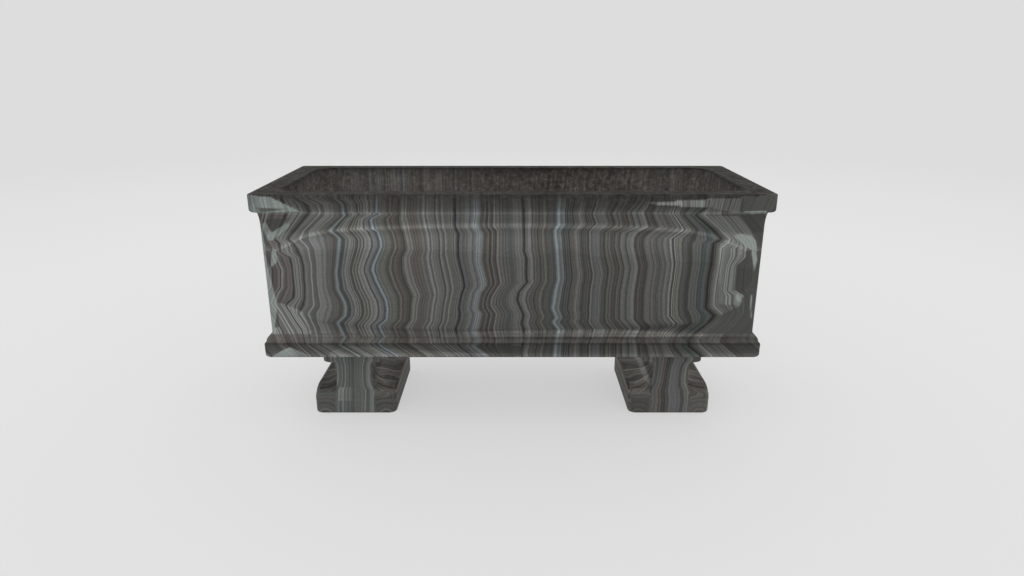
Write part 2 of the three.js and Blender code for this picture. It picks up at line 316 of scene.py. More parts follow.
# On the ends the same layers are cut lengthwise, so they run in tall curves round the middle
end_bulge = 0.12
sway_depth = 0.012
sway_across = 5
sway_up = 14
least_half_width = 0.01
end_share = np.clip(basin_places[..., 1] / np.maximum(basin_rows[:, 1:2], least_half_width), -1, 1)
sway = sway_depth * np.sin(sway_across * end_share + sway_up * (basin_places[..., 2] - basin_low.z))
basin_band += faces_end * np.sign(basin_columns[:, 0]) * (1 - end_share ** 2) * (end_bulge + sway)

# Figures of plain stone where the layers meet the ends, and strips of painted highlight, outlined in the
# same pixels
figure_outlines = {
    "pale": """
244 194, 270 197, 283 203, 303 213, 259 213, 254 214, 244 214;
262 223, 266 223, 271.5 232.5, 289 222, 290 226, 272 241, 268 240, 262 226;
272 247.5, 276 250, 277 262, 270.5 268.5;
256 222, 260 222, 264 240, 268 268, 277 303, 276 334, 262 334;
733 236, 740 233.5, 752 236, 756 241, 757.5 252, 750 249, 743 244;
751 250, 756 252, 757.5 260, 755 268, 753 276, 753 262;
736 292, 742 296, 741 304, 736 300;
750.2 295, 752 295, 751.8 318, 750 318;
744 211.3, 767 210.8, 767 212.6, 744 213;
281 351, 290 347, 301 352, 312 358, 270 358
""",
    "dark": """
255 207.8, 296 208.6, 262 212;
265 219, 290 218, 271.5 232.5;
264 237, 272 247.5, 269 268, 267.6 268;
278 304, 279.5 327.5, 274.5 327.5;
746 249, 751 251, 753 265, 753 280, 745 290, 733 291, 736 265, 745 259;
474 346, 500 344.5, 524 346, 523 355, 505 358, 488 353
""",
    "smooth": """
742 197, 768 195, 768 211, 740 212;
740 214, 768 214, 766 240, 758 240, 748 226;
754 240, 768 236, 760 334, 745 334, 741 302, 745 291, 753 280;
706 325, 722 314, 738 307, 746 302, 746 334, 700 334;
767 194, 782 194, 782 214, 767 214
""",
    "frosted_and_sheen": """
708 216, 738 216, 749 228, 757 244, 757 252, 747 248, 730 240;
641 203.5, 668 201.5, 690 200, 709 199, 709 208, 680 206.3;
709 199, 743 198, 741 212, 735 213, 712 208;
720 243, 734 243, 745 248, 736 262, 736 290, 744 297, 742 306, 719 304;
277 302, 287 305, 303 312, 312 334, 274 334
""",
    # Painted highlights along the ogee's lip and on the plinth's lower face at the left
    "painted_highlight": """
440 334, 500 330.5, 620 329, 700 334.5, 707 335.7, 640 337.8, 545 338, 440 337.5;
330 352, 345 346, 470 353, 520 355, 330 357
""",
}
figure_far = 20.0


def figure_depth(across, down, outline):
    """Pixels inside a closed outline, negative outside: the distance to its nearest edge, with the
    sign from the number of edges that a line to the right crosses."""
    inside = np.zeros(across.shape, bool)
    nearest = np.full(across.shape, figure_far)
    for (x0, y0), (x1, y1) in zip(outline, np.roll(outline, -1, axis=0)):
        run = (x1 - x0) ** 2 + (y1 - y0) ** 2
        share = np.clip(((across - x0) * (x1 - x0) + (down - y0) * (y1 - y0)) / run, 0, 1)
        gap = np.hypot(across - x0 - share * (x1 - x0), down - y0 - share * (y1 - y0))
        nearest = np.minimum(nearest, gap)
        if y0 != y1:
            crossing = x0 + (down - y0) * (x1 - x0) / (y1 - y0)
            inside ^= ((y0 > down) != (y1 > down)) & (across < crossing)
    return np.where(inside, nearest, -nearest)


# The back repeats the front's figures, as the two faces of one sawn block do
side_reach = 0.03
on_long_side = on_wall & (faces_front | (np.abs(basin_places[..., 1]) > half_width - side_reach))
front_places = basin_places.copy()
front_places[..., 1] = -np.abs(basin_places[..., 1])
across, down, _ = photo_place(front_places)
basin_marks = {"band": basin_band}
for figure, outlines in figure_outlines.items():
    depths = [figure_depth(across, down, traced(outline)) for outline in outlines.split(";")]
    basin_marks[figure] = np.where(on_long_side, np.max(depths, axis=0), -figure_far)
shows = {figure: basin_marks[figure] > 0 for figure in figure_outlines}


def curve_at(curve, values):
    """A curve, written as pairs of place and height, read at the given values."""
    points = traced(curve)
    return np.interp(values, points[:, 0], points[:, 1])


def strip(values, low, high, fade):
    """1 between low and high and 0 outside, with a slope of the given width inside each end."""
    return np.clip(np.minimum(values - low, high - values) / fade, 0, 1)


# Painted light and shade down the front, as tone against pixels from the rim to the plinth's foot:
# painted highlights on the rim's lower edge, the cushion's crest, the ogee and the plinth's foot, and
# painted shade on the fascia and the plinth's top edge. The cushion's lit crest lies lower towards
# the wall's ends and draws the tones down with it.
painted_front_light = """
190 0.70, 193 0.66, 194.5 0.50, 197 0.55, 200 0.58, 204 0.60, 208 0.64, 211 0.76, 212 1.3, 213 1.95,
214.5 1.15, 216 1.04, 221 0.96, 223 1.10, 224.5 1.60, 226 1.90, 227.2 1.45, 228.5 1.06, 230 1.00, 232 1.06,
236 1.12, 240 1.12, 248 1.05, 254 0.98, 264 0.96, 300 0.93, 318 0.90, 324 0.85, 328 0.86, 331 1.00,
333 1.08, 335 1.26, 336.5 1.28, 338 0.92, 340 0.98, 342 1.06, 343 0.84, 344.5 0.42, 346 0.57, 350 0.65,
353 0.80, 355 1.15, 357 1.40
"""
crest_drop = """
270 25, 279 25, 290 19, 300 13, 312 9, 326 6, 345 4, 380 2.5, 420 1, 512 0, 600 1, 650 2.5, 690 6, 706 9,
718 13, 732 19, 745 25, 760 25
"""
crest_top = 214.5
crest_row = 224
crest_foot = 262
crest = crest_row + np.where(on_long_side, curve_at(crest_drop, across), 0)
above_crest = crest_top + (down - crest_top) * (crest_row - crest_top) / (crest - crest_top)
below_crest = crest_foot - (crest_foot - down) * (crest_foot - crest_row) / (crest_foot - crest)
near_crest = (down > crest_top) & (down < crest_foot)
level = np.where(near_crest, np.where(down < crest, above_crest, below_crest), down)
tone = curve_at(painted_front_light, level)
# The front's tone is also a little higher at the left than at the right
tone *= curve_at("300 1.08, 400 1.08, 470 0.94, 600 0.91, 640 0.87, 760 0.87", across)

# Above a wavy line the wall is a little lighter: a painted reflection in its polish
reflection_edge = """
340 249, 400 249, 440 250, 480 253, 500 256, 520 258, 540 256.5, 553 252, 563 248, 573 249, 583 254,
600 257, 615 256, 655 254, 680 261, 712 262, 722 266, 735 268
"""
reflection_gain = 0.10
reflection_top = 234
reflection_fade = 4
reflected = np.clip(curve_at(reflection_edge, across) - down + 0.5, 0, 1)
reflected *= np.clip((down - reflection_top) / reflection_fade, 0, 1)
tone *= 1 + reflection_gain * reflected * on_wall

# Painted light and shade on the ogee: its lip is painted lighter on the right and darker on the left,
# a painted glow runs along its foot at the left, painted shade lies above it on the right, and a
# painted shade line marks the crease at its foot in the middle
lip_foot = 338
glow_reach = 4
crease_reach = 1.3
dusk_top = 322
dusk_fade = 4
lip_fade = 2
lip_top = curve_at("600 328, 650 331.5, 700 333", across)
lip_glow = curve_at("262 0.30, 345 0.24, 400 0", across) * strip(
    down, lip_foot - glow_reach, lip_foot + glow_reach, glow_reach)
lip_gain = strip(down, lip_top, lip_foot, lip_fade) * curve_at(
    "330 -0.05, 400 -0.22, 480 -0.12, 545 -0.04, 575 0.22, 700 0.30, 715 0", across)
dusk = curve_at("610 0, 650 0.30, 690 0.30, 706 0", across) * strip(down, dusk_top, lip_top + 1, dusk_fade)
crease_shade = curve_at("470 0, 500 0.30, 640 0.30, 650 0", across) * strip(
    down, lip_foot - crease_reach, lip_foot + crease_reach, 1)
for gain in (lip_glow, lip_gain, -dusk, -crease_shade):
    tone *= 1 + gain * on_wall

# The figures have tones of their own, and painted shade darkens the cove near the block's corners
low_dark = 234
veil_top = 212
veil_left = 320
plain_veil = 0.96
slit_tone = curve_at("212 0.60, 214 1.05", down)
pale_tone = curve_at("250 0.60, 253 0.90, 262 1.05, 285 1.14, 300 0.92, 735 1.1, 745 1.2", across)
bright_tone = curve_at("703 1.2, 712 0.72, 745 0.62", across)
bright_veil = shows["frosted_and_sheen"] & ((down < veil_top) | (across < veil_left))
veiled = shows["frosted_and_sheen"] | shows["smooth"]
tone = np.where(shows["dark"] & (down < low_dark), slit_tone, tone)
tone = np.where(shows["pale"], pale_tone, tone)
tone = np.where(veiled, np.maximum(tone, np.where(bright_veil, bright_tone, plain_veil)), tone)
shade_top = 213.5
shade_foot = 233
corner_shade = curve_at("290 0.20, 335 0, 690 0, 712 0.22", across)
tone *= 1 - corner_shade * strip(down, shade_top, shade_foot, 1) * on_wall

# Painted light and shade on the rim's top and in the hollow, by the depth below the rim: painted
# shade darkens the rim's top and lays a dark shadow line just inside its edge, and below that the
# hollow is painted lighter the deeper it goes, against its shade, a little less along its middle
inside = slice(len(outside), None)
rim_top = slice(len(outside), len(outside) + len(rim_flat))
below_rim = basin_high.z - basin_places[..., 2]
tone[inside] = curve_at("0 0.34, 0.003 0.45, 0.006 0.95, 0.020 1.35, 0.06 1.75, 0.4 2.0", below_rim[inside])
tone[inside] *= curve_at("-0.50 1.0, -0.20 1.0, -0.12 0.82, 0.10 0.82, 0.20 0.92, 0.50 0.95",
                         basin_places[inside, :, 0])
tone[rim_top] = curve_at("0.20 0.56, 0.48 0.66", np.abs(basin_places[rim_top, :, 0]))
basin_marks["tone"] = tone

# Weather and hands leave a brown skin on all that faces up: the rim, the hollow, the plinth's ledge.
# The same skin is painted shade as well, darkening what faces up, and the fascia most at its top.
ledge_patina_and_shade = 0.55
ledge_bottom = plinth_height - 0.002
ledge_top = wall_bottom - 0.006
figure_patina_and_shade = 0.15
turned_rows = 3
outer_height = outer_profile[:, 1]
on_ledge = (outer_height > ledge_bottom) & (outer_height < ledge_top)
on_fascia = outer_height > cove_top + rim_bottom_radius
below_top = np.interp(basin_height - outer_height, [0.003, 0.020, rim_height], [0.8, 0.35, 0.12])
patina_and_shade_rows = np.ones(len(basin_rows))
patina_and_shade_rows[:len(outside)] = np.where(on_fascia, below_top, np.where(on_ledge, ledge_patina_and_shade, 0))
patina_and_shade = patina_and_shade_rows[:, None] * curve_at(
    "-0.6 0.96, -0.35 0.86, -0.1 0.90, 0.05 1.0, 0.6 0.96", basin_places[..., 0])
patina_and_shade *= np.where(shows["pale"] | veiled, figure_patina_and_shade, 1)
patina_and_shade[rim_top.stop + turned_rows:] *= curve_at(
    "-0.50 0.95, -0.42 0.70, -0.24 0.72, -0.14 1.0, 0.30 1.0, 0.44 0.80, 0.50 0.85",
    basin_places[rim_top.stop + turned_rows:, :, 0])
basin_marks["patina_and_shade"] = patina_and_shade

# The skin's fine lines run along the rim on its top, and down the walls inside the hollow
rows_to_girth = 20
girth_row = len(outside) + rows_to_girth
sag_middle = 0.05
sag_depth = 0.1
around = np.cumsum(np.hypot(*np.diff(basin_places[girth_row, :, :2], axis=0, prepend=0).T))
sag = np.clip(below_rim - sag_middle, -sag_middle, sag_depth)
bend = curve_at("0.35 1.5, 0.55 8.0", np.abs(basin_places[..., 0]))
in_hollow = (np.arange(len(basin_rows)) > rim_top.stop + turned_rows)[:, None]
rim_line = half_width - basin_rows[:, 1:2] + np.clip(below_rim, 0, None)
basin_marks["streak"] = np.where(in_hollow, around + bend * sag ** 2, rim_line)

basin = skin_object("basin_block", basin_places, basin_marks)


def linear(levels):
    """Display levels from 0 to 255 as the linear light that a shader takes."""
    share = np.asarray(levels, float) / 255
    return np.where(share <= 0.04045, share / 12.92, ((share + 0.055) / 1.055) ** 2.4)


def opaque(levels):
    """Display levels as a shader colour that nothing shines through."""
    return (*linear(levels), 1)


def set_inputs(tree, sockets, inputs):
    """Give each named socket a plain value or another node's output."""
    for key, value in inputs.items():
        if isinstance(value, bpy.types.NodeSocket):
            tree.links.new(value, sockets[key])
        else:
            sockets[key].default_value = value


def node(tree, kind, inputs=None, **settings):
    """One shader node with its settings and inputs."""
    made = tree.nodes.new(kind)
    for name, value in settings.items():
        setattr(made, name, value)
    set_inputs(tree, made.inputs, inputs or {})
    return made


def maths(tree, operation, *values):
    """Output of a Math node."""
    return node(tree, "ShaderNodeMath", dict(enumerate(values)), operation=operation).outputs[0]


def nudged(tree, base, value, amount):
    """Base plus an amount times how far a value lies from one half."""
    return maths(tree, "MULTIPLY_ADD", maths(tree, "SUBTRACT", value, 0.5), amount, base)


def scaled(tree, shade, factor):
    """A colour times a number."""
    return node(tree, "ShaderNodeVectorMath", {0: shade, "Scale": factor}, operation="SCALE").outputs[0]


def mark(tree, name):
    """Output of a named attribute of the mesh."""
    return node(tree, "ShaderNodeAttribute", attribute_name=name).outputs["Fac"]


def object_place(tree):
    """The place on the object, in metres."""
    return node(tree, "ShaderNodeTexCoord").outputs["Object"]


def span(tree, value, low, high, to_low=0.0, to_high=1.0):
    """A value's place between low and high, carried over to another range."""
    return node(tree, "ShaderNodeMapRange", {
        "Value": value, "From Min": low, "From Max": high, "To Min": to_low, "To Max": to_high,
    }).outputs[0]


def noise(tree, place, scale, detail=2.0, roughness=0.5):
    """Noise in space, or along a line where the place is a single number."""
    on_line = place.type == "VALUE"
    return node(tree, "ShaderNodeTexNoise", {
        "W" if on_line else "Vector": place, "Scale": scale, "Detail": detail, "Roughness": roughness,
    }, noise_dimensions="1D" if on_line else "3D").outputs[0]


def sheets_of(tree, place, scale):
    """Chance colours of sheets that lie side by side along a line."""
    return node(tree, "ShaderNodeTexVoronoi", {"W": place, "Scale": scale},
                voronoi_dimensions="1D").outputs["Color"]


def ramp(tree, value, stops):
    """Colour of a value between stops, each a place from 0 to 1 and its display levels."""
    made = node(tree, "ShaderNodeValToRGB", {0: value})
    elements = made.color_ramp.elements
    for place, levels in stops[1:-1]:
        elements.new(place)
    for element, (place, levels) in zip(elements, stops):
        element.position = place
        element.color = opaque(levels)
    return made.outputs[0]


def blend_colours(tree, share, under, over):
    """Colour over another by a share."""
    return node(tree, "ShaderNodeMix", {0: share, 6: under, 7: over}, data_type="RGBA").outputs[2]


def bump(tree, height, distance, strength):
    """Normal of a surface raised by a height."""
    return node(tree, "ShaderNodeBump", {
        "Height": height, "Distance": distance, "Strength": strength,
    }).outputs["Normal"]


def new_group(name, inputs, outputs):
    """An empty shader node group with named sockets, and its two end nodes."""
    group = bpy.data.node_groups.new(name, "ShaderNodeTree")
    for sockets, end in ((inputs, "INPUT"), (outputs, "OUTPUT")):
        for label, kind in sockets.items():
            group.interface.new_socket(label, in_out=end, socket_type=kind)
    return group, group.nodes.new("NodeGroupInput").outputs, group.nodes.new("NodeGroupOutput").inputs


def new_material(name):
    """A material with its shader tree and its main shader's inputs."""
    material = bpy.data.materials.new(name)
    material.use_nodes = True
    tree = material.node_tree
    return material, tree, tree.nodes["Principled BSDF"].inputs


number = "NodeSocketFloat"
colour = "NodeSocketColor"

# Fine layering of the stone: thin sheets of chance width, each a little lighter or darker, and a
# slow drift of shade across them. Band is the distance through the layers, in metres.
layers, given, result = new_group(
    "stone_layers",
    {"Band": number, "Sheets per metre": number, "Sheet contrast": number, "Leaf contrast": number},
    {"Band": number, "Shade": number},
)
place = object_place(layers)
bent = nudged(layers, given["Band"], noise(layers, place, scale=16.0, detail=2.0), 0.0045)
bent = nudged(layers, bent, noise(layers, place, scale=90.0, detail=1.0), 0.0010)
leaves_per_metre = maths(layers, "MULTIPLY", given["Sheets per metre"], 2.4)
sheets = sheets_of(layers, bent, given["Sheets per metre"])
leaves = sheets_of(layers, bent, leaves_per_metre)
sheet_shade = node(layers, "ShaderNodeSeparateColor", {0: sheets}).outputs[0]
leaf_shade = node(layers, "ShaderNodeSeparateColor", {0: leaves}).outputs[1]
shade = nudged(layers, 1.0, sheet_shade, given["Sheet contrast"])
shade = nudged(layers, shade, leaf_shade, given["Leaf contrast"])
shade = nudged(layers, shade, noise(layers, bent, scale=40.0, detail=3.0), 0.3)
set_inputs(layers, result, {"Band": nudged(layers, bent, leaf_shade, 0.0035), "Shade": shade})

# The weathered skin over the layers: brown patina with fine lines where it has gathered, which is also
# painted shade on what faces up; tone, which carries painted light and shade on edges, crests and
# hollows besides the figures' own tones; fine grain; and a soft polish.
skin, given, result = new_group(
    "stone_skin",
    {"Color": colour, "Tone": number, "Patina and shade": number, "Streak": number},
    {"Color": colour, "Roughness": number, "Height": number},
)
place = object_place(skin)
grain = noise(skin, place, scale=420.0, detail=3.0)
cloud = noise(skin, place, scale=11.0, detail=5.0, roughness=0.62)
mottle = noise(skin, place, scale=75.0, detail=4.0, roughness=0.7)
blotch = noise(skin, place, scale=26.0, detail=4.0, roughness=0.6)
lines_at = nudged(skin, given["Streak"], cloud, 0.02)
lines = noise(skin, lines_at, scale=130.0, detail=5.0, roughness=0.75)
crust_at = maths(skin, "MULTIPLY_ADD", mottle, 0.62, maths(skin, "MULTIPLY", lines, 0.38))
crust = ramp(skin, crust_at, [(0.36, (42, 38, 35)), (0.5, (67, 63, 59)), (0.64, (94, 92, 88))])
stained = scaled(skin, crust, span(skin, blotch, 0.3, 0.7, 0.76, 1.24))
patina_and_shade_share = maths(skin, "MULTIPLY", given["Patina and shade"], span(skin, cloud, 0.25, 0.55, 0.80, 1.0))
skinned = blend_colours(skin, patina_and_shade_share, given["Color"], stained)
speck = maths(skin, "MULTIPLY", span(skin, grain, 0.3, 0.7, 0.94, 1.26), given["Tone"])
mottle_depth = maths(skin, "MULTIPLY", given["Patina and shade"], 0.6)
set_inputs(skin, result, {
    "Color": scaled(skin, skinned, speck),
    "Roughness": maths(skin, "MULTIPLY_ADD", given["Patina and shade"], 0.35, span(skin, cloud, 0.3, 0.7, 0.40, 0.52)),
    "Height": maths(skin, "MULTIPLY_ADD", mottle, mottle_depth, grain),
})

# Colours of the stone's layers, as display levels
stone_colours = {
    "olive": (84, 84, 78), "brown": (82, 80, 78), "umber": (78, 75, 71), "bark": (69, 66, 62),
    "mauve": (86, 82, 81), "ash": (90, 90, 88), "haze": (97, 98, 96), "cream": (103, 102, 98),
    "bone": (112, 112, 109), "slate": (80, 80, 82), "mist": (90, 91, 92), "ice": (125, 135, 139),
    "rime": (104, 111, 112), "teal": (80, 83, 83), "sea": (89, 92, 91), "lilac": (96, 96, 96),
    "black": (58, 57, 55), "iron": (77, 77, 76), "moss": (82, 85, 81), "deep": (68, 74, 73),
}

# Stone of the figures: its colour, how much it covers the layers, and how much of their lines is left
# The frosted figure's colour also paints the highlight patch on the left foot's stem
figure_stones = {
    "frosted_and_sheen": ((113, 115, 113), 0.60, 1.30), "smooth": ((72, 73, 70), 0.90, 0.35),
    "pale": ((124, 131, 128), 0.88, 0.45), "dark": ((71, 71, 69), 0.85, 0.35),
}


def layer_colour(tree, band, stops, to_metres):
    """Colour of each layer: ramps of up to thirty stops, one after another along the band."""
    words = stops.split()
    marks = [(to_metres(float(at)), name) for at, name in zip(words[::2], words[1::2])]
    ramp_steps = 30
    shown = None
    for first in range(0, len(marks) - 1, ramp_steps):
        stretch = marks[first:first + ramp_steps + 1]
        low, high = stretch[0][0], stretch[-1][0]
        shares = [((at - low) / (high - low), stone_colours[name]) for at, name in stretch]
        here = ramp(tree, span(tree, band, low, high), shares)
        past = None if shown is None else maths(tree, "GREATER_THAN", band, low)
        shown = here if shown is None else blend_colours(tree, past, shown, here)
    return shown


def stone_material(name, stops, to_metres, sheets_per_metre, sheet_contrast, leaf_contrast):
    """Polished layered stone, with its figures, painted highlights, tone and patina read from the mesh;
    the tone and patina carry painted light and shade too.
    """
    material, tree, polish = new_material(name)
    layering = node(tree, "ShaderNodeGroup", {
        "Band": mark(tree, "band"), "Sheets per metre": sheets_per_metre,
        "Sheet contrast": sheet_contrast, "Leaf contrast": leaf_contrast,
    }, node_tree=layers).outputs
    shown = scaled(tree, layer_colour(tree, layering["Band"], stops, to_metres), layering["Shade"])
    ripple = maths(tree, "SUBTRACT", layering["Shade"], 1.0)
    for figure, (levels, cover, lines_left) in figure_stones.items():
        faint = maths(tree, "MULTIPLY_ADD", ripple, lines_left, 1.0)
        share = span(tree, mark(tree, figure), -0.5, 0.5, 0.0, cover)
        shown = blend_colours(tree, share, shown, scaled(tree, linear(levels), faint))
    # A painted highlight: the colour is raised by up to a third inside the ogee's and plinth's strips
    shown = scaled(tree, shown, span(tree, mark(tree, "painted_highlight"), -0.5, 0.5, 1.0, 1.35))
    surface = node(tree, "ShaderNodeGroup", {
        "Color": shown, "Tone": mark(tree, "tone"), "Patina and shade": mark(tree, "patina_and_shade"),
        "Streak": mark(tree, "streak"),
    }, node_tree=skin).outputs
    set_inputs(tree, polish, {
        "Base Color": surface["Color"], "Roughness": surface["Roughness"], "Specular IOR Level": 0.05,
        "Normal": bump(tree, surface["Height"], distance=0.0004, strength=0.35),
    })
    return material


# The block's layers from left to right, by the pixel at which they cross the middle of the wall
basin_layers = """
178 mauve 188 ash 192 slate 198 rime 200 ash 206 umber 212 olive 218 umber 226 haze 228 brown 236 ash
244 iron 252 ash 257 umber 262 haze 268 mauve 273 mauve 277 mauve 281 haze 284 mauve 289 mauve 291.2 iron
292.2 bone 293.2 ash 295 haze 298.5 haze 300 ash 302 iron 304.5 iron 307 ash 309 haze 312.5 haze 314 mist
318 haze 322 lilac 325.5 haze 327.5 iron 331 iron 333.6 bark 335 bark 335.8 rime 336.8 rime 337.4 rime
338.6 teal 341 sea 344 ash 347 haze 351 ash 352.2 bark 353.4 olive 357.5 ash 359.5 cream 361.5 haze 365 ash
368 mist 370.6 slate 371.8 rime 372.6 ice 373.8 ice 374.8 slate 376.5 moss 379.5 iron 384 olive 389.4 iron
390.3 cream 391.2 umber 396 bark 402 iron 405 olive 408.8 ash 409.8 cream 410.8 brown 418 umber 424 ash
430 haze 437.5 ash 438.4 haze 440 brown 443 ash 447 haze 448.6 cream 450 haze 455 haze 457.5 ash 459.4 black
461 slate 463.5 slate 465.5 iron 467.5 ash 470.5 haze 473.5 mist 475 slate 476.6 mist 478.2 rime 480 rime
481.4 mist 482.4 ash 485 iron 488 umber 490.5 umber 494 brown 497.4 brown 498.5 cream 499.6 brown 504 ash
508 ash 511 sea 514 iron 517 ash 519 haze 522 lilac 524 ash 525.6 black 527.4 iron 528.8 ash 534 ash
538 brown 544 olive 549 iron 552.5 iron 555 teal 556.3 rime 557.2 ice 558.6 rime 559.6 mist 561.5 sea
565 teal 569 iron 573 brown 577.5 ash 578.3 cream 579.1 brown 584 iron 587 iron 590 iron 592 ash 594 mist
597 sea 599.4 iron 600.5 bone 601.7 iron 604 iron 606 iron 610 olive 614 brown 616.8 bark 618.2 olive
619.8 haze 621 umber 623.3 brown 625 ash 628 moss 633 ash 637 ash 641 mauve 648 ash 654 ash 658 umber
659.6 haze 660.8 brown 663.5 ash 666 haze 668 ash 670 haze 672.6 bone 673.8 black 675 black 675.8 bone
676.6 haze 678 olive 683 ash 687.3 iron 690 iron 693.5 ash 697 ash 698.2 rime 699.2 iron 701 deep 706 deep
707.4 iron 709 black 711 black 712.4 iron 715 ash 717.6 haze 718.6 bone 719.8 haze 726 haze 730 haze
735 bone 737 iron 741 umber 744 iron 748 mauve 752 iron 757 ash 764 moss 772 haze 775 umber 788 ash 792 rime
796 mist 801 umber 806 olive 812 ash 818 brown 822 cream 826 iron 838 moss
"""
basin.data.materials.append(stone_material(
    "banded_stone", basin_layers,
    lambda pixel: float(front_metres(pixel, vein_row_pixel, front_depth)),
    sheets_per_metre=150.0, sheet_contrast=0.22, leaf_contrast=0.85,
))
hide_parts("trough_basin")
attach(basin, "root")

# Each foot is a stone of its own: a base block, a neck between two hollow flanks and a cap with a
# rounded underside. A stem runs down the neck onto the base, whose shoulders are rounded back.
foot_bottom_radius = 0.005
foot_corner_radius = 0.006
foot_base_corner_radius = 0.018
foot_base_height = 0.063
foot_front_height = 0.039
foot_shoulder_depth = 0.050
neck_half_width = 0.048
scotia_height = 0.036
neck_height = 0.014
neck_flare_height = 0.027
neck_flare_depth = 0.0105
quirk_height = 0.002
cap_half_width = 0.075
cap_round_height = 0.006
stem_half_width = 0.0475
stem_side_slope = 0.007
stem_setback = 0.013
stem_flare_height = 0.032
cap_setback = 0.005
closing_steps = 4

neck_bottom = foot_base_height + scotia_height
flare_bottom = neck_bottom + neck_height
flare_top = flare_bottom + neck_flare_height
cap_bottom = flare_top + quirk_height
cap_side = cap_bottom + cap_round_height
waist = neck_half_width + neck_flare_depth


def smooth_step(value, low, high):
    """0 below low, 1 above high, and a smooth S between them."""
    share = np.clip((value - low) / (high - low), 0, 1)
    return share * share * (3 - 2 * share)


def stem_setback_at(height):
    """How far the stem lies behind the base's face: a sine up its flared foot, then a square curve
    forward again to the cap."""
    rise = np.clip((height - foot_front_height) / stem_flare_height, 0, 1)
    lift = np.clip((height - flare_bottom) / (cap_side - flare_bottom), 0, 1)
    upper = stem_setback + (cap_setback - stem_setback) * lift ** 2
    return np.where(height < flare_bottom, stem_setback * np.sin(np.pi / 2 * rise), upper)


def shoulder_setback_at(height):
    """How far the shoulders lie behind the base's face: a quarter ellipse, and above it the cap."""
    share = np.clip((height - foot_front_height) / (foot_base_height - foot_front_height), 0, 1)
    rounded = foot_shoulder_depth * (1 - np.sqrt(1 - share ** 2))
    return np.where(height >= cap_bottom, stem_setback_at(height), rounded)


def foot_profile(half_foot, top):
    """Half widths of a foot against its height, from its underside up to the cap's top."""
    return np.concatenate([
        arc((half_foot - foot_bottom_radius, foot_bottom_radius), foot_bottom_radius, 270, 360, steps=6),
        line((half_foot, foot_bottom_radius), (half_foot, foot_front_height), steps=6)[1:],
        line((half_foot, foot_front_height), (half_foot, foot_base_height), steps=14)[1:],
        arc((half_foot, neck_bottom), (half_foot - neck_half_width, scotia_height),
            270, 180, steps=18)[1:],
        line((neck_half_width, neck_bottom), (neck_half_width, flare_bottom), steps=3)[1:],
        arc((waist, flare_bottom), (neck_flare_depth, neck_flare_height), 180, 90, steps=8)[1:],
        line((waist, flare_top), (waist, cap_bottom), steps=1)[1:],
        arc((waist, cap_side), (cap_half_width - waist, cap_round_height), 270, 360, steps=10)[1:],
        line((cap_half_width, cap_side), (cap_half_width, top), steps=5)[1:],
    ])


# The feet's layers stand on edge in the stem, curve round the base's corners, and lie level in the
# hollowed flanks, where they bend up next to the stem and wave a little.
stem_lean_back = 0.16
stem_lean_up = 0.05
flare_power = 0.35
corner_arc_start = 0.120
corner_arc_rate = 0.9
corner_arc_centre = 0.080
corner_arc_drop = 0.006
flank_start = 0.160
flank_rise = 1.7
flank_lean_back = 0.62
flank_bend = 0.10
flank_bend_reach = 0.03
flank_bend_back = 0.5
wave_depth = 0.004
wave_across = 90
wave_back = 40
ripple_depth = 0.003
ripple_back = 95
ripple_up = 30
flank_fold = 0.5
flank_clearance = 0.016
side_start = 0.170
side_rise = 2.4
side_lean_back = 0.05
faces_side_above = 0.6
base_fade = (0.040, 0.056)
hollow_fade = (0.045, 0.065)
outward_fade = (-0.03, 0.03)
hollow_patina = 0.22
base_patina = 0.12
patch_tone = 0.90
pixels_per_metre = 380.0


